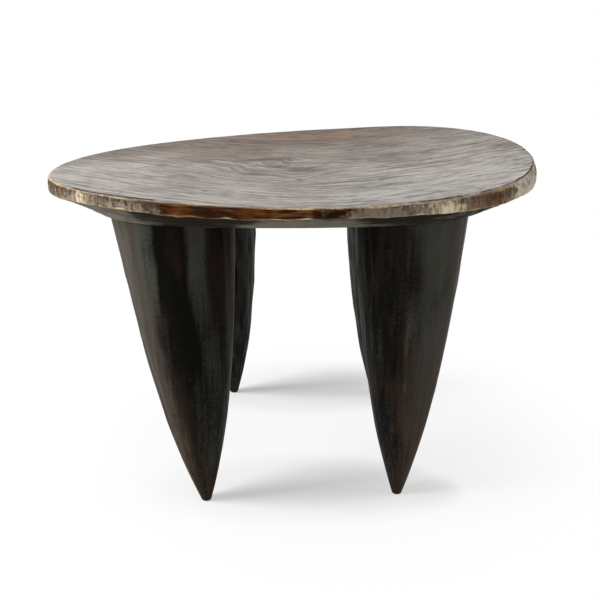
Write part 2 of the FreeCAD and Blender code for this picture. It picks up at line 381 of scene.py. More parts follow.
def leg_sizes(leg):
    """Centres and radii of a packed leg at its foot, shoulder and tenon."""
    points = packed_points(f"leg_{leg}")
    shoulder = points[abs(points[:, 2] - UNDERSIDE) < TOUCH]
    foot = points[points[:, 2] < TOUCH]
    tenon = points[points[:, 2] > points[:, 2].max() - TOUCH]
    top = (shoulder.min(0) + shoulder.max(0)) / 2
    toe = (foot.min(0) + foot.max(0)) / 2
    from_axis = np.hypot(*(shoulder - top)[:, :2].T)
    return {
        "Height": UNDERSIDE,
        "Top X": top[0],
        "Top Y": top[1],
        "Top Radius": from_axis.max(),
        "Foot X": toe[0],
        "Foot Y": toe[1],
        "Foot Radius": np.hypot(*(foot - toe)[:, :2].T).max(),
        "Tenon Base": from_axis.min(),
        "Tenon Top": np.hypot(*(tenon - top)[:, :2].T).max(),
        "Tenon Length": points[:, 2].max() - UNDERSIDE,
    }


for leg in LEGS:
    print(leg, {name: round(float(size), 4) for name, size in leg_sizes(leg).items()})

# %% The hewn leg as a node tree
LEG_TAPER = 0.47
TIP_POWER = 3.0
POINTS_ROUND = 192
POINTS_ALONG = 230
STEEPEST_CUT = math.cos(math.radians(21))
# How soft the borders of the cells are, and how far a flat cell stands proud of a round one on average
FACET_SOFT, CUT_SOFT = 0.45, 0.35
FACET_PROUD, CUT_PROUD = 0.02, 0.006
# How far the pattern of cells moves from one seed to the next, and from the facets to the cuts
SEED_STEP, CUTS_AFTER_FACETS = 7.3, 3.0
CLOSED = 1e-6
FOOT_END, HORN_END, SHOULDER_END, TENON_END = 0.015, 0.93, 0.95, 0.98
FLOAT, WHOLE, MATTER = "NodeSocketFloat", "NodeSocketInt", "NodeSocketMaterial"
LEG_INPUTS = {
    "Height": FLOAT, "Top X": FLOAT, "Top Y": FLOAT, "Top Radius": FLOAT,
    "Foot X": FLOAT, "Foot Y": FLOAT, "Foot Radius": FLOAT,
    "Tenon Base": FLOAT, "Tenon Top": FLOAT, "Tenon Length": FLOAT,
    "Facets": FLOAT, "Facet Length": FLOAT, "Facet Flatness": FLOAT, "Facet Depth": FLOAT,
    "Cuts": FLOAT, "Cut Length": FLOAT, "Cut Flatness": FLOAT, "Cut Depth": FLOAT,
    "Seed": WHOLE, "Wood": MATTER,
}


def ramp_up(value, low, high):
    """A straight step: 0 below low, 1 above high."""
    inputs = {"Value": value, "From Min": low, "From Max": high}
    return value.add("ShaderNodeMapRange", {"clamp": True}, inputs)


def flat_cells(across, along, up, count, length, seed, smoothness):
    """Flat cells on the horn's skin, this many round it and about this long.

    Gives the distance from the cell's middle, how far a flat cell stands proud of a round one, and a tone.
    """
    girth = count / (2 * math.pi)
    unrolled = {0: across * girth, 1: along * girth, 2: up / length + seed * SEED_STEP}
    skin = up.add("ShaderNodeCombineXYZ", {}, unrolled)
    inputs = {"Vector": skin, "Scale": 1.0, "Smoothness": smoothness}
    cell = up.add("ShaderNodeTexVoronoi", {"feature": "SMOOTH_F1"}, inputs, "Distance")
    middle = up.add("ShaderNodeSeparateXYZ", {}, {0: cell.out("Position")})
    reach = middle.maths("SQRT", middle.out("X") * middle.out("X") + middle.out("Y") * middle.out("Y"))
    turn = (across * middle.out("X") + along * middle.out("Y")) / reach
    proud = 1 / turn.maths("MAXIMUM", turn, STEEPEST_CUT) - 1
    tone = up.add("ShaderNodeSeparateXYZ", {}, {0: cell.out("Color")}, "X")
    return cell, proud, tone


def hewn_leg_tree():
    tree = bpy.data.node_groups.new("hewn_leg", "GeometryNodeTree")
    for name, kind in LEG_INPUTS.items():
        tree.interface.new_socket(name, in_out="INPUT", socket_type=kind)
    tree.interface.new_socket("Leg", in_out="OUTPUT", socket_type="NodeSocketGeometry")
    bench = Wire(tree)
    given = bench.add("NodeGroupInput")

    grid_size = {"Size X": 1.0, "Size Y": 1.0, "Vertices X": POINTS_ROUND + 1, "Vertices Y": POINTS_ALONG}
    grid = bench.add("GeometryNodeMeshGrid", {}, grid_size, "Mesh")
    flat = bench.add("ShaderNodeSeparateXYZ", {}, {0: bench.add("GeometryNodeInputPosition")})
    angle = (flat.out("X") + 0.5) * (2 * math.pi)
    share = flat.out("Y") + 0.5
    across = angle.maths("COSINE", angle)
    along = angle.maths("SINE", angle)

    foot = ramp_up(share, 0, FOOT_END)
    from_top = 1 - ramp_up(share, FOOT_END, HORN_END)
    shoulder = ramp_up(share, HORN_END, SHOULDER_END)
    tenon = ramp_up(share, SHOULDER_END, TENON_END)
    lid = ramp_up(share, TENON_END, 1)
    up = given.out("Height") * (1 - from_top)

    top_radius = given.out("Top Radius")
    straight = top_radius * (1 - LEG_TAPER * from_top)
    tip_loss = (top_radius * (1 - LEG_TAPER) - given.out("Foot Radius")) * from_top ** TIP_POWER
    horn = straight - tip_loss

    seed = given.out("Seed")
    facet_count, facet_length = given.out("Facets"), given.out("Facet Length")
    _, facet_proud, facet_tone = flat_cells(across, along, up, facet_count, facet_length, seed, FACET_SOFT)
    cut_count, cut_length = given.out("Cuts"), given.out("Cut Length")
    cut_seed = seed + CUTS_AFTER_FACETS
    cut_ridge, cut_proud, _ = flat_cells(across, along, up, cut_count, cut_length, cut_seed, CUT_SOFT)
    proud = given.out("Facet Flatness") * (facet_proud - FACET_PROUD)
    proud = proud + given.out("Cut Flatness") * (cut_proud - CUT_PROUD)
    hollow = given.out("Cut Depth") * (cut_ridge - 0.5) * ramp_up(from_top, 1.0, 0.9)
    hewn = horn * (1 + proud - given.out("Facet Depth") * (facet_tone - 0.5)) + hollow

    stub = given.out("Tenon Base") + (given.out("Tenon Top") - given.out("Tenon Base")) * tenon
    radius = (hewn + (stub - hewn) * shoulder) * foot * (1 - lid)
    centre_x = given.out("Top X") + (given.out("Foot X") - given.out("Top X")) * from_top
    centre_y = given.out("Top Y") + (given.out("Foot Y") - given.out("Top Y")) * from_top
    rolled = {
        0: centre_x + radius * across,
        1: centre_y + radius * along,
        2: up + given.out("Tenon Length") * tenon,
    }
    skin = bench.add("ShaderNodeCombineXYZ", {}, rolled)

    marked = grid
    for name, value in (("ridge", cut_ridge), ("facet_tone", facet_tone)):
        settings = {"data_type": "FLOAT", "domain": "POINT"}
        inputs = {"Geometry": marked, "Name": name, "Value": value}
        marked = bench.add("GeometryNodeStoreNamedAttribute", settings, inputs)
    shaped = bench.add("GeometryNodeSetPosition", {}, {"Geometry": marked, "Position": skin})
    closed = bench.add("GeometryNodeMergeByDistance", {}, {"Geometry": shaped, "Distance": CLOSED})
    smooth = bench.add("GeometryNodeSetShadeSmooth", {}, {"Geometry": closed})
    real = bench.add("GeometryNodeRealizeInstances", {}, {"Geometry": smooth})
    finished = bench.add("GeometryNodeSetMaterial", {}, {"Geometry": real, "Material": given.out("Wood")})
    bench.add("NodeGroupOutput", {}, {"Leg": finished})
    return tree


leg_tree = hewn_leg_tree()
print("leg tree", len(leg_tree.nodes), "nodes")

# %% [markdown]
# ### Bands of smoke and painted sheen on each leg
#
# The smoke has settled on each leg in its own upright bands, and hands and floors have rubbed it off again.
# The bands are also painted sheen, greyer on the sides of a leg that face the lamps.
# The bands could be painted on an unwrapped leg, but an unwrapped horn has a seam and a pinched tip. So each
# leg has a few levels, and at each level a line of places round it with their shares of smoke and of rubbed
# wood. Every point of the mesh takes its shares between the levels and the places next to it, and a little
# noise makes the bands wander.

# %% Bands of smoke, painted sheen and worn marks
# Levels by height. Each place of a level: the way it faces in degrees from straight ahead, right positive,
# its share of grey, which is smoke and painted sheen, and its share of rubbed wood
LEG_BANDS = {
    "front_left": {
        0.29: (
            (-180, 0.5, 0.3), (-100, 0.6, 0.4), (-75, 0.9, 0.65), (-32, 0.95, 0.6), (-24, 0.75, 0.1),
            (-14, 0.65, 0.1), (-8, 0.06, 0.0), (17, 0.04, 0.0), (24, 0.95, 0.0), (36, 0.85, 0.0),
            (45, 0.3, 0.7), (75, 0.35, 0.7), (90, 0.6, 0.2), (180, 0.5, 0.3),
        ),
        0.22: (
            (-180, 0.5, 0.3), (-100, 0.6, 0.4), (-75, 0.9, 0.65), (-31, 0.95, 0.7), (-21, 0.45, 0.6),
            (-6, 0.04, 0.0), (16, 0.04, 0.0), (23, 0.5, 0.0), (29, 0.45, 0.0), (38, 0.32, 0.6),
            (75, 0.38, 0.6), (90, 0.6, 0.2), (180, 0.5, 0.3),
        ),
        0.15: (
            (-180, 0.4, 0.3), (-90, 0.75, 0.6), (-75, 0.9, 0.7), (-40, 0.95, 0.75), (-22, 0.58, 0.75),
            (-4, 0.3, 0.5), (8, 0.3, 0.1), (30, 0.42, 0.0), (50, 0.5, 0.0), (75, 0.55, 0.0),
            (90, 0.7, 0.2), (180, 0.4, 0.3),
        ),
        0.05: (
            (-180, 0.4, 0.3), (-90, 0.75, 0.7), (-48, 0.8, 0.8), (-23, 0.68, 0.9), (-4, 0.55, 0.9),
            (13, 0.47, 0.6), (31, 0.42, 0.3), (51, 0.5, 0.2), (90, 0.6, 0.2), (180, 0.4, 0.3),
        ),
        0.015: (
            (-180, 0.5, 0.5), (-90, 0.85, 0.8), (-46, 0.85, 0.9), (-23, 0.6, 0.9), (13, 0.58, 0.95),
            (51, 0.6, 0.8), (90, 0.6, 0.5), (180, 0.5, 0.5),
        ),
    },
    "front_right": {
        0.31: (
            (-180, 0.4, 0.3), (-95, 0.75, 0.2), (-76, 0.7, 0.1), (-68, 0.3, 0.0), (-43, 0.25, 0.1),
            (-37, 0.25, 0.7), (-14, 0.25, 0.6), (-6, 0.5, 0.1), (6, 0.7, 0.0), (14, 1.0, 0.0),
            (32, 1.0, 0.0), (39, 0.85, 0.6), (56, 0.95, 0.6), (61, 1.0, 0.3), (85, 1.0, 0.2),
            (120, 0.5, 0.3), (180, 0.4, 0.3),
        ),
        0.25: (
            (-180, 0.4, 0.3), (-95, 0.75, 0.2), (-76, 0.7, 0.1), (-68, 0.3, 0.0), (-43, 0.28, 0.1),
            (-37, 0.28, 0.7), (-14, 0.26, 0.6), (-6, 0.42, 0.1), (17, 0.6, 0.0), (34, 0.6, 0.0),
            (39, 0.8, 0.8), (56, 0.95, 0.7), (61, 1.0, 0.3), (85, 1.0, 0.2), (120, 0.5, 0.3),
            (180, 0.4, 0.3),
        ),
        0.12: (
            (-180, 0.4, 0.3), (-85, 0.6, 0.2), (-66, 0.3, 0.0), (-30, 0.25, 0.2), (-16, 0.35, 0.5),
            (-4, 0.62, 0.8), (12, 0.82, 0.8), (37, 0.98, 0.8), (60, 1.0, 0.7), (85, 0.95, 0.4),
            (180, 0.4, 0.3),
        ),
        0.05: (
            (-180, 0.4, 0.3), (-85, 0.6, 0.3), (-60, 0.42, 0.3), (-35, 0.4, 0.5), (-15, 0.5, 0.6),
            (0, 0.58, 0.7), (17, 0.68, 0.7), (37, 0.88, 0.7), (60, 0.95, 0.6), (85, 0.9, 0.4),
            (180, 0.4, 0.3),
        ),
    },
    "rear_left": {
        0.27: ((-180, 0.5, 0.2), (20, 0.5, 0.2), (45, 0.7, 0.0), (100, 0.7, 0.0), (180, 0.5, 0.2)),
        0.12: ((-180, 0.4, 0.4), (180, 0.4, 0.4)),
    },
    "rear_right": {
        0.27: ((-180, 0.5, 0.2), (-110, 0.75, 0.0), (-45, 0.75, 0.0), (-20, 0.5, 0.2), (180, 0.5, 0.2)),
        0.12: ((-180, 0.4, 0.4), (180, 0.4, 0.4)),
    },
}
# Each small worn mark: the way it faces, its height, its half width in degrees, and its half height
WORN_MARKS = {
    "front_left": ((62, 0.285, 3, 0.010), (66, 0.245, 3, 0.012)),
    "front_right": ((-5, 0.196, 3, 0.020), (-3, 0.145, 6, 0.008), (21, 0.288, 6, 0.008)),
    "rear_left": ((65, 0.22, 4, 0.008),),
    "rear_right": ((-60, 0.15, 5, 0.008),),
}
# Grey added on the ridges of the cuts: a painted highlight, on the rear legs only
RIDGE_HIGHLIGHT = {"front": 0.0, "rear": 0.6}
RIDGE_MIDDLE = 0.45
NOISE_REACH = 1.6


def smooth_step(value, low, high):
    share = np.clip((value - low) / (high - low), 0, 1)
    return share * share * (3 - 2 * share)


def noise_at(points, scale):
    """Noise from about -1 to 1 at each point, with this many waves in a metre along each axis."""
    return np.array([noise.noise(Vector(point)) for point in points * scale]) * NOISE_REACH


def mark(mesh, name, values):
    """Store one number for each point of a mesh."""
    attribute = mesh.attributes.new(name, "FLOAT", "POINT")
    attribute.data.foreach_set("value", np.asarray(values, dtype=np.float32))


def band_shares(leg, facing, height):
    """Shares of grey (smoke and painted sheen) and of rubbed wood at each point, between the bands above and
    below it.
    """
    levels = sorted(LEG_BANDS[leg])
    place = np.interp(height, levels, range(len(levels)))
    smoke, rubbed = np.zeros(len(facing)), np.zeros(len(facing))
    for index, level in enumerate(levels):
        near = np.clip(1 - abs(place - index), 0, 1)
        at, smoke_shares, rubbed_shares = zip(*LEG_BANDS[leg][level])
        smoke += near * np.interp(facing, at, smoke_shares)
        rubbed += near * np.interp(facing, at, rubbed_shares)
    return smoke, rubbed


def mark_skin(mesh, leg):
    """Store the leg's bands and worn marks, read at each point's height and angle round the leaning axis."""
    sizes = leg_sizes(leg)
    points = np.array([v.co for v in mesh.vertices])
    height = points[:, 2]
    down = 1 - np.clip(height / UNDERSIDE, 0, 1)
    x = points[:, 0] - sizes["Top X"] - down * (sizes["Foot X"] - sizes["Top X"])
    y = points[:, 1] - sizes["Top Y"] - down * (sizes["Foot Y"] - sizes["Top Y"])
    facing = np.degrees(np.arctan2(x, -y))
    sway = 3.5 * noise_at(points, (10, 10, 9)) + 2 * noise_at(points, (40, 40, 30))
    lift = 0.03 * noise_at(points, (24, 24, 9))
    smoke, rubbed = band_shares(leg, facing + sway, height + lift)
    ridge = np.empty(len(points), dtype=np.float32)
    mesh.attributes["ridge"].data.foreach_get("value", ridge)
    # The ridges of the cuts get painted highlight on the rear legs
    mark(mesh, "smoke", smoke + RIDGE_HIGHLIGHT[leg.split("_")[0]] * (ridge - RIDGE_MIDDLE))
    mark(mesh, "rubbed", rubbed)
    worn = np.zeros(len(points))
    for mark_facing, mark_height, wide, tall in WORN_MARKS[leg]:
        worn += np.exp(-((facing - mark_facing) / wide) ** 2 - ((height - mark_height) / tall) ** 2)
    mark(mesh, "worn", worn)


for leg in LEGS:
    print(leg, len(LEG_BANDS[leg]), "levels of bands and", len(WORN_MARKS[leg]), "worn marks")

# %% [markdown]
# ### Four legs from one tree
#
# The tree is the rule of a leg, and each leg is one use of it with its own sizes and seed. The front legs
# were dressed smoother, with long facets and light cuts, and the rear legs were left rougher. The tree is
# evaluated once and its result kept as a plain mesh, so that the bands can be stored on it.

# %% Four legs
FRONT_CUTS = {
    "Facets": 10.0, "Facet Length": 0.26, "Facet Flatness": 0.55, "Facet Depth": 0.012,
    "Cuts": 20.0, "Cut Length": 0.055, "Cut Flatness": 0.55, "Cut Depth": 0.0009,
}
REAR_CUTS = {
    "Facets": 12.0, "Facet Length": 0.5, "Facet Flatness": 0.6, "Facet Depth": 0.015,
    "Cuts": 30.0, "Cut Length": 0.045, "Cut Flatness": 0.7, "Cut Depth": 0.0022,
}
LEG_SEEDS = {"front_left": 4, "front_right": 11, "rear_left": 7, "rear_right": 2}


def carve_leg(leg):
    piece = bpy.data.objects.new(f"leg_{leg}_carved", bpy.data.meshes.new(f"leg_{leg}_carved"))
    bpy.context.scene.collection.objects.link(piece)
    modifier = piece.modifiers.new("hewn", "NODES")
    modifier.node_group = leg_tree
    cuts = FRONT_CUTS if leg.startswith("front") else REAR_CUTS
    values = {**leg_sizes(leg), **cuts, "Seed": LEG_SEEDS[leg], "Wood": leg_wood}
    for socket in leg_tree.interface.items_tree:
        if socket.name in values:
            value = values[socket.name]
            modifier[socket.identifier] = float(value) if socket.socket_type == FLOAT else value
    evaluated = piece.evaluated_get(bpy.context.evaluated_depsgraph_get())
    mesh = bpy.data.meshes.new_from_object(evaluated)
    piece.modifiers.clear()
    piece.data = mesh
    mark_skin(mesh, leg)
    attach(piece, "root")
    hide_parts(f"leg_{leg}")
    print(piece.name, len(mesh.polygons), "faces")


for leg in LEGS:
    carve_leg(leg)

# %% [markdown]
# ## The slab's shape
#
# The seat is one thick slab. Its top is slightly wound, like a plank that has dried unevenly, so the rim is
# thin at the left and nearly twice as thick at the right. Below the rim a broad bevel runs in to the flat
# underside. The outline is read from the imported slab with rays, and the skin is laid over it in rings:
# out over the top, round the worn edge, down the rim, in along the bevel, and across the underside.
# A boolean or a subdivided cage could give the same body, but with rings each point knows how far it lies
# from the rim's two edges, and the wear follows from that.

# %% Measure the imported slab
POINTS_AROUND = 720
BEVEL_DROP = 0.016
PROBE_X, PROBE_Y = 0.12, 0.10
FAR = 1.0

angles = np.arange(POINTS_AROUND) * 2 * math.pi / POINTS_AROUND
outward = np.stack((np.cos(angles), np.sin(angles)), axis=1)
packed_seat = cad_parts["seat"].data
seat_skin = BVHTree.FromPolygons(
    [v.co for v in packed_seat.vertices], [tuple(p.vertices) for p in packed_seat.polygons])


def reach_at(height):
    """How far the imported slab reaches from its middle, in every direction, at one height."""
    reaches = []
    for x, y in outward:
        hit = seat_skin.ray_cast(Vector((x * FAR, y * FAR, height)), Vector((-x, -y, 0)))[0]
        reaches.append(math.hypot(hit.x, hit.y))
    return np.array(reaches)


def wound_top():
    """Height of the wound top as a sum of 1, x, y and x times y, from four rays down."""
    corners = [(x, y) for x in (-PROBE_X, PROBE_X) for y in (-PROBE_Y, PROBE_Y)]
    heights = [seat_skin.ray_cast(Vector((x, y, FAR)), Vector((0, 0, -1)))[0].z for x, y in corners]
    return np.linalg.solve([[1, x, y, x * y] for x, y in corners], heights)


TOP_SHAPE = wound_top()
RIM_FOOT = UNDERSIDE + BEVEL_DROP


def top_height(x, y):
    return TOP_SHAPE[0] + TOP_SHAPE[1] * x + TOP_SHAPE[2] * y + TOP_SHAPE[3] * x * y


rim_reach = reach_at((RIM_FOOT + top_height(0, 0)) / 2)
flat_reach = reach_at(UNDERSIDE + TOUCH)


def ring_points(reach):
    """X and Y of every point of a ring."""
    return (reach[:, None] * outward).T


rim_x, rim_y = ring_points(rim_reach)
print("rim reaches", rim_reach.min().round(4), "to", rim_reach.max().round(4))

# %% [markdown]
# ### Wear along the rim
#
# Hands, knees and knocks have rounded the rim's two edges and chipped them here and there. Its lower edge,
# the foot, was hewn by eye, so it wanders, and it hangs lowest at the right end, where a drying check has
# opened too. A bevel modifier would round the edges evenly, as a machine does. So each direction round the
# rim has its own numbers instead: how far the edge is worn, how high the foot is, and how deep the chips go.

# %% Wear along the rim
EDGE_WORN, EDGE_UNEVEN, EDGE_CHIPPED = 0.0028, 0.35, 0.15
FOOT_WORN, FOOT_CHIPPED = 0.0020, 0.0004
BULGE, BULGE_RIGHT = 0.0008, 0.0022
BULGE_FROM, BULGE_FULL = 0.15, 0.27
# Each place along X at the front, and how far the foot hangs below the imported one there
FOOT_DROPS = (
    (-0.28, 0.0026), (-0.262, 0.0022), (-0.249, 0.0010), (-0.236, -0.0012), (-0.22, -0.0018),
    (-0.145, -0.0016), (-0.125, 0.0), (0.07, 0.0005), (0.125, 0.0028), (0.18, 0.0062), (0.21, 0.0068),
    (0.28, 0.0072),
)
LEVEL_FROM, LEVEL_FULL = 0.02, 0.14
# Each chip: its place along the front, its half width, and how deep it goes as a share of the deepest
FOOT_CHIPS = (
    (-0.175, 0.006, 1.0), (-0.069, 0.005, 1.0), (-0.014, 0.014, 0.5), (0.0065, 0.006, 1.0),
    (0.118, 0.004, 1.0),
)
EDGE_CHIPS = (
    (-0.030, 0.012, 0.30), (0.002, 0.014, 0.30), (0.037, 0.007, 0.30), (0.074, 0.010, 0.35),
    (0.186, 0.007, 0.8), (0.205, 0.010, 1.0), (0.222, 0.006, 0.9),
)
CHECK_AT = math.atan2(0.048, 0.270)
CHECK_WIDTH = 0.0020


def rim_noise(waves, seed):
    """Noise from about -1 to 1 that closes on itself, with this many waves round the rim."""
    radius = waves / (2 * math.pi)
    around = [noise.noise(Vector((x * radius, y * radius, seed))) for x, y in outward]
    return np.array(around) * NOISE_REACH


def front_chips(chips):
    """Chips along the front of the rim, each deepest at its own X and fading over its width."""
    return sum(deep * np.exp(-((rim_x - x) / width) ** 2) for x, width, deep in chips) * (rim_y < 0)


chipped, edge_chipped = front_chips(FOOT_CHIPS), front_chips(EDGE_CHIPS)
edge_worn = EDGE_WORN * (1 + EDGE_UNEVEN * rim_noise(34, 1.7) + EDGE_CHIPPED * edge_chipped)
bulge = BULGE + BULGE_RIGHT * smooth_step(rim_x, BULGE_FROM, BULGE_FULL)
foot_drop = np.interp(rim_x, *zip(*FOOT_DROPS)) * (1 - smooth_step(rim_y, LEVEL_FROM, LEVEL_FULL))
foot_wave = 0.0005 * rim_noise(50, 4.1) + 0.0004 * rim_noise(150, 6.3) + FOOT_CHIPPED * chipped
foot_height = RIM_FOOT - foot_drop + foot_wave
side_wave = 0.0005 * rim_noise(26, 8.2) + 0.00025 * rim_noise(110, 2.9)
check_across = np.exp(-((angles - CHECK_AT) * rim_reach / CHECK_WIDTH) ** 2)
rim_top = top_height(rim_x, rim_y)
rim_height = rim_top - foot_height
print("rim is", rim_height.min().round(4), "to", rim_height.max().round(4), "m high")

# %% [markdown]
# ### Rings of the slab
#
# Ring by ring the skin goes out over the top, round the worn edge, down the rim, round its foot, in along the
# bevel and across the underside. A ring keeps its reach and height, and also how far it lies past the top
# edge and above the foot, and how much of the check it shows. The finish reads these distances, so the wear
# follows each edge wherever it wanders.

# %% Rings of the slab
TOP_RINGS, EDGE_RINGS, SIDE_RINGS, FOOT_RINGS, BEVEL_RINGS, UNDER_RINGS = 44, 7, 12, 6, 20, 16
TOP_CROWDING = 1.4
EDGE_SWEEP = math.radians(82)
SWELL_SHARE = 0.6
CHIP_BITE = 0.0010
STROKE_DEPTH, STROKES_ROUND = 0.0006, 60
CHECK_RUN, CHECK_DEPTH = 0.012, 0.0020
CHECK_NOTCH_EDGE, CHECK_NOTCH_SIDE = 0.0015, 0.001
# Length, width and depth of the adze's hollows
TOP_ADZE, UNDER_ADZE = (0.075, 0.032, 0.0004), (0.05, 0.03, 0.0005)
HOLLOWS_FROM_EDGE = 0.03
NOWHERE, EVERYWHERE = np.zeros(POINTS_AROUND), np.ones(POINTS_AROUND)

Ring = namedtuple("Ring", "reach height past_edge above_foot check")
top_reach = rim_reach - bulge - edge_worn + side_wave
side_reach = rim_reach + side_wave
foot_reach = side_reach - FOOT_WORN - CHIP_BITE * chipped


def steps_of(count):
    """Even steps from 0 to 1, without the first."""
    return np.linspace(0, 1, count)[1:]


def adze_hollows(x, y, long, wide, deep):
    """Shallow hollows of an adze: the distance from scattered middles, longer along X than along Y."""
    near = [noise.voronoi(Vector((a / long, b / wide, 0.5)))[0][0] for a, b in zip(x, y)]
    return deep * (np.array(near) - 0.5)


def top_ring(step):
    """From the middle out to where the edge turns down, with rings crowding towards the edge."""
    reach = top_reach * (1 - (1 - step) ** TOP_CROWDING)
    x, y = ring_points(reach)
    inside = top_reach - reach
    check = check_across * np.clip(1 - inside / CHECK_RUN, 0, 1)
    hollow = adze_hollows(x, y, *TOP_ADZE) * smooth_step(inside, 0, HOLLOWS_FROM_EDGE)
    height = top_height(x, y) + hollow - CHECK_DEPTH * check
    return Ring(reach, height, -inside - edge_worn * EDGE_SWEEP / 2, EVERYWHERE, check)


def edge_ring(step):
    """Round the worn top edge."""
    sweep = EDGE_SWEEP * step
    reach = top_reach + edge_worn * math.sin(sweep) - CHECK_NOTCH_EDGE * check_across
    height = rim_top - edge_worn * (1 - math.cos(sweep)) - CHECK_DEPTH * check_across
    return Ring(reach, height, edge_worn * (sweep - EDGE_SWEEP / 2), height - foot_height, check_across)


def side_ring(step, start):
    """Down the rim, which swells a little on its way to the foot."""
    check = check_across * (1 - step)
    swell = math.sin(min(step / SWELL_SHARE, 1) * math.pi / 2)
    reach = start.reach + (side_reach - start.reach) * swell - CHECK_NOTCH_SIDE * check
    height = start.height + (foot_height + FOOT_WORN - start.height) * step
    return Ring(reach, height, start.past_edge + start.height - height, height - foot_height, check)


def foot_ring(step, start):
    """Round the worn foot of the rim."""
    sweep = math.pi / 2 * step
    reach = foot_reach + (side_reach - foot_reach) * math.cos(sweep)
    height = foot_height + FOOT_WORN * (1 - math.sin(sweep))
    above_foot = NOWHERE + FOOT_WORN * (1 - sweep)
    return Ring(reach, height, start.past_edge + FOOT_WORN * sweep, above_foot, NOWHERE)


def bevel_ring(step, start):
    """In along the bevel, over the strokes that hewed it."""
    reach = foot_reach + (flat_reach - foot_reach) * step
    stroke = STROKE_DEPTH * rim_noise(STROKES_ROUND, 11 + 7 * step) * math.sin(math.pi * step)
    height = foot_height + (UNDERSIDE - foot_height) * step + stroke
    run = foot_reach - reach
    return Ring(reach, height, start.past_edge + run, start.above_foot - run, NOWHERE)


def under_ring(step, start):
    """Across the flat underside towards its middle."""
    reach = flat_reach * (1 - step)
    height = UNDERSIDE + np.maximum(adze_hollows(*ring_points(reach), *UNDER_ADZE), 0)
    return Ring(reach, height, start.past_edge + flat_reach - reach, -rim_reach, NOWHERE)


def slab_rings():
    """All rings, from the middle of the top to the middle of the underside."""
    rings = [top_ring(step) for step in steps_of(TOP_RINGS)]
    rings += [edge_ring(step) for step in steps_of(EDGE_RINGS)]
    below = ((side_ring, SIDE_RINGS), (foot_ring, FOOT_RINGS), (bevel_ring, BEVEL_RINGS))
    for make_ring, count in below:
        start = rings[-1]
        rings += [make_ring(step, start) for step in steps_of(count)]
    start = rings[-1]
    rings += [under_ring(step, start) for step in steps_of(UNDER_RINGS)[:-1]]
    return rings


rings = slab_rings()
print(len(rings), "rings of", POINTS_AROUND, "points")

# %% Slab mesh
# One point in the middle of the top, the rings, and one point in the middle of the underside


def slab_mesh():
    """Quads between the rings, and triangles to the two middles."""
    mesh = bpy.data.meshes.new("seat_slab")
    points = [(0, 0, top_height(0, 0))]
    for ring in rings:
        points += [(r * x, r * y, z) for r, (x, y), z in zip(ring.reach, outward, ring.height)]
    points.append((0, 0, UNDERSIDE))
    last = len(points) - 1
    count = POINTS_AROUND
    following = [(j + 1) % count for j in range(count)]
    faces = [(0, 1 + j, 1 + k) for j, k in enumerate(following)]
    for number in range(len(rings) - 1):
        near, far = 1 + number * count, 1 + (number + 1) * count
        faces += [(near + j, far + j, far + k, near + k) for j, k in enumerate(following)]
    under = last - count
    faces += [(under + j, last, under + k) for j, k in enumerate(following)]
    mesh.from_pydata(points, [], faces)
    mesh.shade_smooth()
    return mesh


def mark_rings(name, values, top, under):
    """Store one number for each point: the top's middle, ring by ring, the underside's middle."""
    mark(seat_mesh, name, np.concatenate(([top], *values, [under])))


seat_mesh = slab_mesh()
mark_rings("past_edge", [ring.past_edge for ring in rings], -1, 1)
mark_rings("above_foot", [ring.above_foot for ring in rings], 1, -1)
mark_rings("check", [ring.check for ring in rings], 0, 0)
mark_rings("chip", [chipped] * len(rings), 0, 0)
mark_rings("edge_chip", [edge_chipped] * len(rings), 0, 0)
print("slab", len(seat_mesh.polygons), "faces")

# %% [markdown]
# ### Zones of the rim
#
# Along the front the rim changes every few centimetres: long grain or end grain, bare patches, dirt, soot on
# the bevel below with painted shade above the legs, and edges that are rubbed through or still dark. The
# pattern of the wood doesn't say where.
# A painted mask could, but places in a list stay readable and can be moved one by one. So each kind of wear
# has its own line of places along X, each with a share, and one share for the rear.

# %% Zones of the rim
END_ZONES = (
    (-0.27, 0.9), (-0.144, 0.9), (-0.122, 0.0), (0.005, 0.0), (0.017, 0.36), (0.045, 0.42), (0.080, 0.9),
    (0.275, 0.95),
)
# Above 0 the wood is bare and pale, below 0 it is dirty
PALE_ZONES = (
    (-0.27, -0.4), (-0.249, -0.4), (-0.236, -0.5), (-0.224, 0.5), (-0.211, 0.35), (-0.200, -0.4),
    (-0.188, -0.6), (-0.180, 0.1), (-0.168, -0.15), (-0.156, -0.3), (-0.147, -0.9), (-0.134, -0.8),
    (-0.124, 0.1), (-0.092, 0.1), (-0.082, -0.3), (-0.060, -0.35), (-0.052, 0.3), (-0.034, 0.0),
    (-0.029, -0.3), (-0.024, 0.2), (-0.008, -0.3), (0.003, -0.3), (0.009, 0.3), (0.015, -0.6),
    (0.038, -0.65), (0.050, 0.0), (0.085, 0.1), (0.118, 0.3), (0.130, 0.6), (0.145, 0.8), (0.156, 0.6),
    (0.172, 0.1), (0.180, 0.0), (0.190, -0.4), (0.203, -0.3), (0.213, 0.2), (0.222, 0.3), (0.235, 0.75),
    (0.275, 0.75),
)
EDGE_ZONES = (
    (-0.27, 0.9), (-0.18, 0.9), (-0.155, 0.35), (-0.06, 0.45), (-0.035, 1.4), (0.03, 1.2), (0.10, 0.9),
    (0.17, 0.7), (0.27, 0.8),
)
FOOT_ZONES = (
    (-0.27, 0.4), (-0.235, 0.9), (-0.18, 0.9), (-0.16, 0.6), (-0.14, 0.4), (-0.05, 0.4), (-0.03, 0.8),
    (0.005, 1.0), (0.02, 0.5), (0.06, 0.5), (0.13, 0.6), (0.2, 0.7), (0.27, 0.5),
)
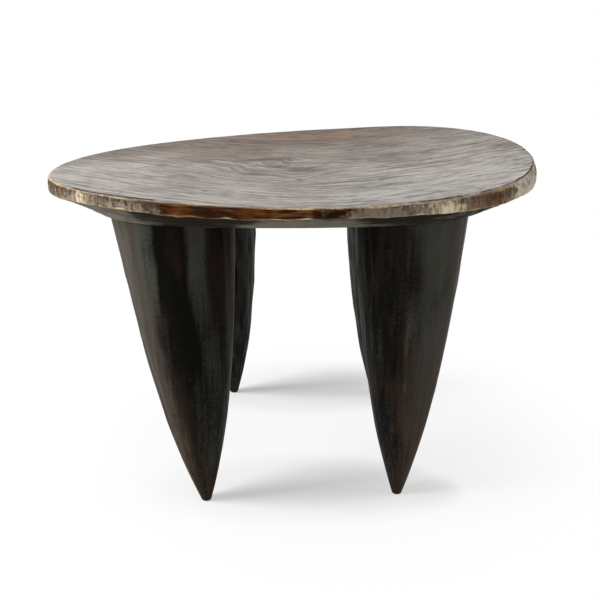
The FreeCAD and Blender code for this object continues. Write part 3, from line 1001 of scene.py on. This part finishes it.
# Shares of soot on the bevel; where they rise above the legs they are painted shade
SOOT_AND_SHADE_ZONES = (
    (-0.28, 0.25), (-0.185, 0.2), (-0.165, 0.35), (-0.14, 0.95), (-0.06, 0.75), (-0.035, 0.25),
    (0.05, 0.2), (0.07, 0.7), (0.11, 0.9), (0.135, 0.7), (0.165, 0.4), (0.28, 0.35),
)
GRIME_ZONES = (
    (-0.24, 0.3), (-0.225, 0.9), (-0.145, 0.8), (-0.13, 0.25), (0.08, 0.15), (0.1, 0.7), (0.27, 0.9),
)
REAR_FROM, REAR_FULL = -0.07, 0.03
# Shares at the rear, and the soot and painted shade in the middle of the underside
END_REAR, PALE_REAR, GRIME_REAR = 0.9, 0.3, 0.5
SOOT_AND_SHADE_REAR, EDGE_REAR, FOOT_REAR = 0.55, 0.7, 0.6
UNDER_SOOT_AND_SHADE = 0.5


def front_zones(zones, rear, inwards=1.0):
    """A share that follows X along the front, on the rim or this far in from it, and one for the rear."""
    at_rear = smooth_step(rim_y, REAR_FROM, REAR_FULL)
    return np.interp(rim_x * inwards, *zip(*zones)) * (1 - at_rear) + rear * at_rear


def end_grain():
    """Share of end grain round the rim: by the way it faces at the rear, by named zones at the front."""
    rim = np.stack((rim_x, rim_y))
    run = np.roll(rim, -1, axis=1) - np.roll(rim, 1, axis=1)
    facing = abs(run[1]) / np.hypot(*run)
    return front_zones(END_ZONES, END_REAR * smooth_step(facing, 0.05, 0.75))


rim_shares = {
    "end_grain": end_grain(),
    "pale": front_zones(PALE_ZONES, PALE_REAR),
    "grime": front_zones(GRIME_ZONES, GRIME_REAR),
    "edge_wear": front_zones(EDGE_ZONES, EDGE_REAR),
    "foot_wear": front_zones(FOOT_ZONES, FOOT_REAR),
}
for name, shares in rim_shares.items():
    mark_rings(name, [shares] * len(rings), 0, 0)
    print(name, "from", shares.min().round(2), "to", shares.max().round(2))
soot_and_shade_shares = [front_zones(SOOT_AND_SHADE_ZONES, SOOT_AND_SHADE_REAR, ring.reach / rim_reach) for ring in rings]
mark_rings("soot", soot_and_shade_shares, 0, UNDER_SOOT_AND_SHADE)

# %% [markdown]
# ## Smoked slab wood
#
# The same dark wood as the legs, but sat on, wiped and rubbed. The top has worn to grey-brown, and painted
# sheen lightens its grey. Fine streaks swing towards the front in the middle of the seat and swirl round a
# knot. The rim keeps two looks: dark red-brown long grain at the front, and grey end grain with upright ticks
# towards the ends.
# Its two edges are rubbed through to the pale raw wood. All of it is one material, because the wear runs
# over the edges from one surface to the next, and masks made from the distances decide where each shows.

# %% Colours of the top
KNOT_X, KNOT_Y = -0.040, -0.020
KNOT_WIDE, KNOT_DEEP = 0.050, 0.065
SWING_SLOPE, SWING_ROUND = 0.75, 0.12
# Grey of the worn top, with its sheen painted in
PATINA_AND_SHEEN_GREY = (0.472, 0.443, 0.408)
DARK_STREAK = (0.190, 0.174, 0.157)
PINK_STREAK = (0.385, 0.340, 0.306)
# Pale grey: painted light on the top's ends and right side, and the colour of pale marks
PALE_END = (0.550, 0.526, 0.494)
# Browns at the rear of the top, darker than its grey: brown wood, with painted shade
REAR_BROWN = (0.250, 0.196, 0.164)
REAR_DARK = (0.092, 0.074, 0.062)
REAR_ORANGE = (0.305, 0.196, 0.130)
EYE_GREY = (0.265, 0.285, 0.262)
MARK_DARK = (0.085, 0.078, 0.070)
MARK_BROWN = (0.165, 0.130, 0.106)
ORANGE_PATCH = ((0.005, 0.152), (0.110, 0.060))
# Each mark on the top: its middle, its half sizes, its turn, its colour, and how strong it is
TOP_MARKS = (
    ((-0.115, 0.030), (0.060, 0.026), 0.1, MARK_BROWN, 0.40),
    ((-0.045, 0.010), (0.050, 0.012), 0.30, MARK_DARK, 0.70),
    ((-0.050, -0.072), (0.024, 0.010), -0.20, MARK_DARK, 0.60),
    ((-0.002, -0.048), (0.040, 0.012), 0.05, MARK_DARK, 0.60),
    ((-0.030, -0.030), (0.022, 0.007), -0.50, MARK_DARK, 0.60),
    ((-0.068, -0.056), (0.020, 0.026), 0.0, EYE_GREY, 0.50),
    ((-0.077, -0.010), (0.034, 0.009), -0.45, PALE_END, 0.45),
    ((-0.036, -0.042), (0.034, 0.008), -0.35, PALE_END, 0.45),
    ((-0.010, -0.006), (0.034, 0.008), 0.50, PALE_END, 0.40),
    ((-0.015, -0.011), (0.008, 0.009), 0.0, MARK_DARK, 0.75),
    ((0.062, 0.008), (0.016, 0.010), 0.0, MARK_BROWN, 0.70),
    ((0.087, -0.004), (0.014, 0.009), 0.0, MARK_BROWN, 0.55),
    ((0.000, -0.100), (0.006, 0.009), 0.3, MARK_DARK, 0.60),
    ((-0.095, -0.153), (0.004, 0.006), 0.0, MARK_DARK, 0.60),
    ((-0.157, -0.018), (0.012, 0.010), 0.0, MARK_DARK, 0.45),
    ((-0.210, 0.010), (0.030, 0.014), 0.0, MARK_DARK, 0.35),
)


def top_grain(bench, place, x, y):
    """Coordinates that run along and across the top's grain, bent round the knot."""
    knot = spot(x, y, (KNOT_X, KNOT_Y), (2 * KNOT_WIDE, 2 * KNOT_DEEP))
    swing = (x * x + SWING_ROUND ** 2) ** 0.5 - SWING_ROUND
    wave = (mottle(stretch(place, (1, 2, 1)), 6, detail=1) - 0.5) * 0.014
    swirl = (mottle(stretch(place, (11, 19, 1)), 1, detail=1, distortion=0.5) - 0.5) * knot * 0.036
    across = (y - KNOT_Y) * (1 - 0.55 * knot) - SWING_SLOPE * swing + wave + swirl
    return bench.add("ShaderNodeCombineXYZ", {}, {0: x, 1: across, 2: 0.0}), knot


def top_colour(bench, place, x, y):
    """Colour and relief of the worn top."""
    grain, knot = top_grain(bench, place, x, y)

    # Streaks of three lengths along the grain, and soft patches
    streak = mottle(stretch(grain, (7, 130, 1)), detail=5, roughness=0.70)
    short = mottle(stretch(grain, (30, 220, 1), move=(3, 1, 0)), detail=4, roughness=0.66)
    fine = mottle(stretch(grain, (90, 600, 1), move=(5, 3, 0)), detail=2, roughness=0.6)
    tint = mottle(stretch(grain, (8, 45, 1), move=(2, 8, 0)), detail=3)
    cloud = mottle(place, 6.5, detail=3)
    worn_patch = mottle(stretch(place, (11, 22, 1), move=(4, 4, 0)), detail=4)
    value = streak * 0.40 + short * 0.38 + fine * 0.22
    light = rise((value - 0.5) * (1 + 0.3 * knot) + (worn_patch - 0.5) * 0.18, -0.09, 0.10)
    colour = blend(light, DARK_STREAK, PATINA_AND_SHEEN_GREY)
    colour = blend(rise(tint, 0.50, 0.66) * 0.6, colour, PINK_STREAK)

    # Painted light: paler towards the ends and the right. Browner round the knot
    colour = blend(rise(abs(x), 0.14, 0.25) * light * 0.35, colour, PALE_END)
    colour = blend(rise(x - y * 0.3, 0.02, 0.16) * light * 0.55, colour, PALE_END)
    colour = blend(knot * 0.30, colour, MARK_BROWN)
    # Painted shade: darker towards the rear left
    colour = blend(rise(y - x * 0.4, 0.04, 0.17) * 0.28, colour, DARK_STREAK)
    # Towards the rear, browner wood darkened by painted shade, with an orange patch
    rear = rise(y + (cloud - 0.5) * 0.2, -0.06, 0.14) * (1 - 0.5 * rise(x, 0.05, 0.25))
    orange = spot(x, y + (cloud - 0.5) * 0.08, *ORANGE_PATCH) * 0.8
    colour = blend(rear * 0.85, colour, blend(light, REAR_DARK, blend(orange, REAR_BROWN, REAR_ORANGE)))

    # The marks, drawn out along the grain, and dark cracks
    ragged = (mottle(stretch(grain, (40, 160, 1), move=(1, 6, 0)), detail=3) - 0.5) * 0.014
    streaky = 0.35 + 0.9 * rise(short * 0.6 + fine * 0.4, 0.40, 0.60)
    for centre, size, turn, tone, share in TOP_MARKS:
        colour = blend(spot(x + ragged, y + ragged, centre, size, turn) * share * streaky, colour, tone)
    crack = rise(streak + knot * 0.06, 0.66, 0.74) * 0.6
    colour = blend(crack, colour, MARK_DARK)
    return colour, value


print("top: a knot at", (KNOT_X, KNOT_Y), "and", len(TOP_MARKS), "marks")

# %% [markdown]
# ### The rim's two looks
#
# At the front and the rear the tools cut along the grain, which is red-brown with black runs and ochre
# flecks. Towards the ends they cut across it, and the end grain has weathered to grey and tan with upright
# ticks, bare in places. Two materials would meet in a hard line, so both looks are worked out everywhere
# and a frayed mask mixes them.

# %% Colours of the rim
LONG_GRAIN = (0.105, 0.0310, 0.0090)
LONG_BLACK = (0.0210, 0.0090, 0.0045)
LONG_OCHRE = (0.200, 0.117, 0.042)
LONG_RED = (0.150, 0.062, 0.026)
END_GREY = (0.250, 0.202, 0.150)
END_TAN = (0.190, 0.148, 0.105)
END_DARK = (0.086, 0.062, 0.042)
END_BLACK = (0.042, 0.030, 0.020)
PALE_WOOD = (0.61, 0.48, 0.29)
CREAM_WOOD = (0.80, 0.69, 0.50)
BEIGE_END = (0.58, 0.52, 0.44)
RAW_EDGE = (0.33, 0.215, 0.120)
GOLD_EDGE = (0.60, 0.385, 0.150)
GRIME = (0.030, 0.012, 0.006)


def rim_colour(bench, place, above_foot):
    """Colour and relief of the rim: long grain at the front and rear, end grain at the ends."""
    x = bench.add("ShaderNodeSeparateXYZ", {}, {0: place}, "X")
    share, pale = stored(bench, "end_grain"), stored(bench, "pale")

    # Long grain: black runs, ochre flecks, and redder towards the top edge
    run = mottle(stretch(place, (28, 28, 520)), detail=5, roughness=0.62)
    black = mottle(stretch(place, (38, 38, 110), move=(2, 1, 4)), detail=4, roughness=0.6)
    long_side = blend(rise(black * 0.5 + run * 0.5 + pale * 0.11, 0.42, 0.58), LONG_BLACK, LONG_GRAIN)
    golden = 0.12 * (1 - rise(abs(x - 0.002), 0.015, 0.050))
    ochre = mottle(stretch(place, (36, 36, 560), move=(1, 4, 2)), detail=4)
    flecks = rise(ochre + golden + pale * 0.14, 0.54, 0.74)
    long_side = blend(flecks * 0.65, long_side, LONG_OCHRE)
    long_side = blend(rise(above_foot, 0.009, 0.017) * 0.45, long_side, LONG_RED)

    # End grain: grey and tan over dark, with upright ticks, and bare where it is worn
    tick = mottle(stretch(place, (360, 360, 50)), detail=4, roughness=0.65)
    patch = mottle(stretch(place, (60, 60, 90), move=(6, 2, 1)), detail=4, roughness=0.6)
    flake = mottle(stretch(place, (170, 170, 210), move=(2, 7, 3)), detail=4, roughness=0.65)
    low = 1 - rise(above_foot, 0.004, 0.013)
    grey_share = rise(tick * 0.35 + patch * 0.35 + flake * 0.3 + pale * 0.16 + (low - 0.5) * 0.1, 0.39, 0.60)
    end_dark = blend(rise(flake, 0.36, 0.62), END_BLACK, END_DARK)
    end_light = blend(rise(tick * 0.6 + flake * 0.4, 0.40, 0.60), END_TAN, END_GREY)
    end_side = blend(grey_share, end_dark, end_light)
    warm = rise(x, 0.155, 0.180) * (1 - rise(x, 0.205, 0.225))
    end_side = blend(warm * 0.4, end_side, LONG_RED)
    bare = rise(flake * 0.5 + tick * 0.25 + patch * 0.25 + pale * 0.36 + low * pale * 0.1, 0.63, 0.83)
    fresh = blend(rise(tick * 0.6 + patch * 0.4, 0.40, 0.62), PALE_WOOD, CREAM_WOOD)
    pale_wood = blend(rise(x, 0.205, 0.245), fresh, BEIGE_END)
    end_side = blend(bare * (0.6 + 0.35 * rise(tick, 0.38, 0.58)), end_side, pale_wood)
    mask = rise(share + (patch - 0.5) * 0.8 + (flake - 0.5) * 0.4, 0.35, 0.55)
    return blend(mask, long_side, end_side), run * (1 - mask) + tick * mask


print("rim: long grain and end grain, mixed by a frayed mask")

# %% [markdown]
# ### The bevel and the underside
#
# The bevel below the rim is hewn and smoked, grey where it was scraped, black where soot gathered, and darker
# above the legs with painted shade. Close under the lip a painted shadow makes a dark line that fades towards
# the underside. Further in, the flat underside is scraped dark wood. It could have a material of its own, but
# the skin is one, so it is one more colour for the masks.

# %% Colours of the bevel
BEVEL_GREY = (0.145, 0.130, 0.105)
BEVEL_DARK = (0.018, 0.015, 0.011)
UNDER_GREY = (0.062, 0.054, 0.044)
UNDER_DARK = (0.026, 0.022, 0.017)
# The distance above the foot counts on below 0, inwards: the painted shadow under the lip, then the underside
LIP_END, LIP_START = -0.020, -0.005
UNDER_FULL, UNDER_START = -0.075, -0.045


def bevel_colour(bench, place, above_foot):
    """Colour and relief of the bevel, and of the scraped underside further in."""
    soot = stored(bench, "soot")
    smoke = mottle(place, 24, detail=4)
    strokes = mottle(stretch(place, (30, 30, 300)), detail=3)
    # A painted shadow close under the lip, lighter further in, and painted shade with the soot above the legs
    lip_shadow = rise(above_foot, LIP_END, LIP_START)
    clean = smoke * 0.6 + strokes * 0.4 - (soot - 0.5) * 0.35 - (lip_shadow - 0.25) * 0.10
    bevel = blend(rise(clean, 0.38, 0.64), BEVEL_DARK, BEVEL_GREY)
    scrape = mottle(stretch(place, (14, 90, 1), move=(2, 2, 0)), detail=4, roughness=0.6)
    under = blend(rise(scrape * 0.7 + smoke * 0.3, 0.38, 0.62), UNDER_DARK, UNDER_GREY)
    return blend(1 - rise(above_foot, UNDER_FULL, UNDER_START), bevel, under), strokes


print("bevel: smoked wood, and scraped wood from", -UNDER_START, "m inwards")

# %% [markdown]
# ### Wear over the edges
#
# The rim's edges are rubbed through to pale raw wood, golden at the chips, and a line of dirt has settled
# just inside the top edge. Such lines could be painted by hand, but the rings already know how far each
# point lies from either edge. A line is then all that lies within a frayed half width, and it stays on its
# edge from every side. The wood has hardly any shine of its own: the sheen of the worn top is painted into
# its grey instead.

# %% The whole finish of the slab
FRAY = 0.0028
# The line of dirt: how far inside the edge it lies, its half width, and how much less of both at the ends
DIRT_INSIDE, DIRT_HALF = 0.0030, 0.0034
DIRT_INSIDE_LESS, DIRT_HALF_LESS = 0.0015, 0.0020
# The worn lines: their half width, what rubbing and a chip add to it, and where they lie
EDGE_HALF, EDGE_RUBBED, EDGE_CHIP_ADDS = 0.0007, 0.0010, 0.0015
FOOT_HALF, FOOT_RUBBED, FOOT_CHIP_ADDS = 0.0004, 0.0010, 0.0007
EDGE_LINE, EDGE_CHIP_LINE, FOOT_LINE = 0.0003, 0.0010, 0.0012
LINE_CORE = 0.55
# The slab hardly shines; the top's sheen is painted into its grey
SLAB_SHINE, SLAB_MARK_DEPTH = 0.01, 0.0005


def slab_wood():
    material, bench = new_finish("smoked slab wood")
    place = bench.add("ShaderNodeTexCoord", output="Object")
    axes = bench.add("ShaderNodeSeparateXYZ", {}, {0: place})
    x, y = axes.out("X"), axes.out("Y")
    past_edge, above_foot = stored(bench, "past_edge"), stored(bench, "above_foot")
    edge_chip, chip, check = stored(bench, "edge_chip"), stored(bench, "chip"), stored(bench, "check")
    edge_share, foot_share = stored(bench, "edge_wear"), stored(bench, "foot_wear")
    grime = stored(bench, "grime")

    top, top_relief = top_colour(bench, place, x, y)
    rim, rim_relief = rim_colour(bench, place, above_foot)
    bevel, strokes = bevel_colour(bench, place, above_foot)

    # Top, rim and bevel meet in frayed lines
    ragged = mottle(place, 90, detail=4) - 0.5
    slow = mottle(place, 21, detail=2)
    fray = ragged * FRAY
    on_rim = rise(past_edge + fray * 0.4, -0.0006, 0.0006)
    on_bevel = 1 - rise(above_foot + fray * 0.3, -0.0012, 0.0002)
    colour = blend(on_rim, top, rim)

    # Dirt just inside the top edge, nearer to it and narrower at the ends
    at_end = rise(abs(x), 0.17, 0.25)
    dirt_half = DIRT_HALF - DIRT_HALF_LESS * at_end
    from_dirt = abs(past_edge + DIRT_INSIDE - DIRT_INSIDE_LESS * at_end + fray) / dirt_half
    dirt_line = 1 - rise(from_dirt, LINE_CORE, 1.0)
    dirt_share = rise(slow * 0.4 + grime * 0.4 + ragged * 0.5, 0.36, 0.56) * (1 - on_rim)
    colour = blend(dirt_line * dirt_share * 0.9, colour, GRIME)

    # Both edges rubbed through to raw wood
    edge_half = EDGE_HALF + EDGE_RUBBED * rise(slow + ragged * 0.6, 0.36, 0.72) + EDGE_CHIP_ADDS * edge_chip
    from_edge = abs(past_edge - EDGE_LINE - edge_chip * EDGE_CHIP_LINE + fray * 0.5) / edge_half
    foot_half = FOOT_HALF + FOOT_RUBBED * rise(slow + ragged * 0.8, 0.40, 0.72) + chip * FOOT_CHIP_ADDS
    from_foot = abs(above_foot - FOOT_LINE + fray * 0.6) / foot_half
    raw = blend(rise(mottle(place, 130, detail=3) + chip * 0.2, 0.42, 0.64), RAW_EDGE, PALE_WOOD)
    rubbed_through = rise(mottle(place, 38, detail=3), 0.36, 0.58)
    edge_wear = 1 - rise(from_edge, LINE_CORE, 1.0)
    edge_wear = edge_wear * edge_share * (0.4 + 0.5 * rubbed_through)
    foot_wear = 1 - rise(from_foot, LINE_CORE, 1.0)
    foot_wear = foot_wear * foot_share * (0.4 + 0.6 * (1 - rubbed_through) + 0.5 * chip)
    colour = blend(edge_wear, colour, blend(edge_chip * 0.7, raw, GOLD_EDGE))
    colour = blend(on_bevel, colour, bevel)
    colour = blend(foot_wear, colour, raw)
    colour = blend(check * 0.9, colour, GRIME)

    roughness = 0.64 + 0.2 * (top_relief - 0.5) + 0.1 * on_rim - 0.1 * on_bevel
    relief = top_relief * 0.6 * (1 - on_rim) + (rim_relief * (1 - on_bevel) + strokes * on_bevel) * on_rim
    finish_surface(bench, colour, roughness, SLAB_SHINE, relief, SLAB_MARK_DEPTH)
    return material


seat_wood = slab_wood()
seat = bpy.data.objects.new("seat_slab", seat_mesh)
seat_mesh.materials.append(seat_wood)
bpy.context.scene.collection.objects.link(seat)
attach(seat, "root")
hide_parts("seat")
print("seat dressed in", seat_wood.name)

# %% [markdown]
# ## The hidden wedges
#
# A blind wedge is split from plain straight wood and driven into the saw cut of its tenon. Nobody sees it
# again, so it has neither smoke nor wear, only pale wood with its fibres along the split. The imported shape
# is already right, so the four pieces stay and only get their finish.

# %% Wedge wood
SPLIT_PALE = (0.52, 0.37, 0.22)
SPLIT_DARK = (0.33, 0.21, 0.11)
WEDGE_SHINE, WEDGE_MARK_DEPTH = 0.3, 0.0003


def split_wood():
    material, bench = new_finish("split wedge wood")
    place = bench.add("ShaderNodeTexCoord", output="Object")
    fibre = mottle(stretch(place, (600, 900, 45)), detail=4, roughness=0.6)
    cloud = mottle(place, 60, detail=2)
    colour = blend(rise(fibre * 0.75 + cloud * 0.25, 0.36, 0.64), SPLIT_DARK, SPLIT_PALE)
    finish_surface(bench, colour, 0.7 + 0.15 * fibre, WEDGE_SHINE, fibre, WEDGE_MARK_DEPTH)
    return material


wedge_wood = split_wood()
for leg in LEGS:
    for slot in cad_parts[f"wedge_{leg}"].material_slots:
        slot.material = wedge_wood
print("wedges dressed in", wedge_wood.name)
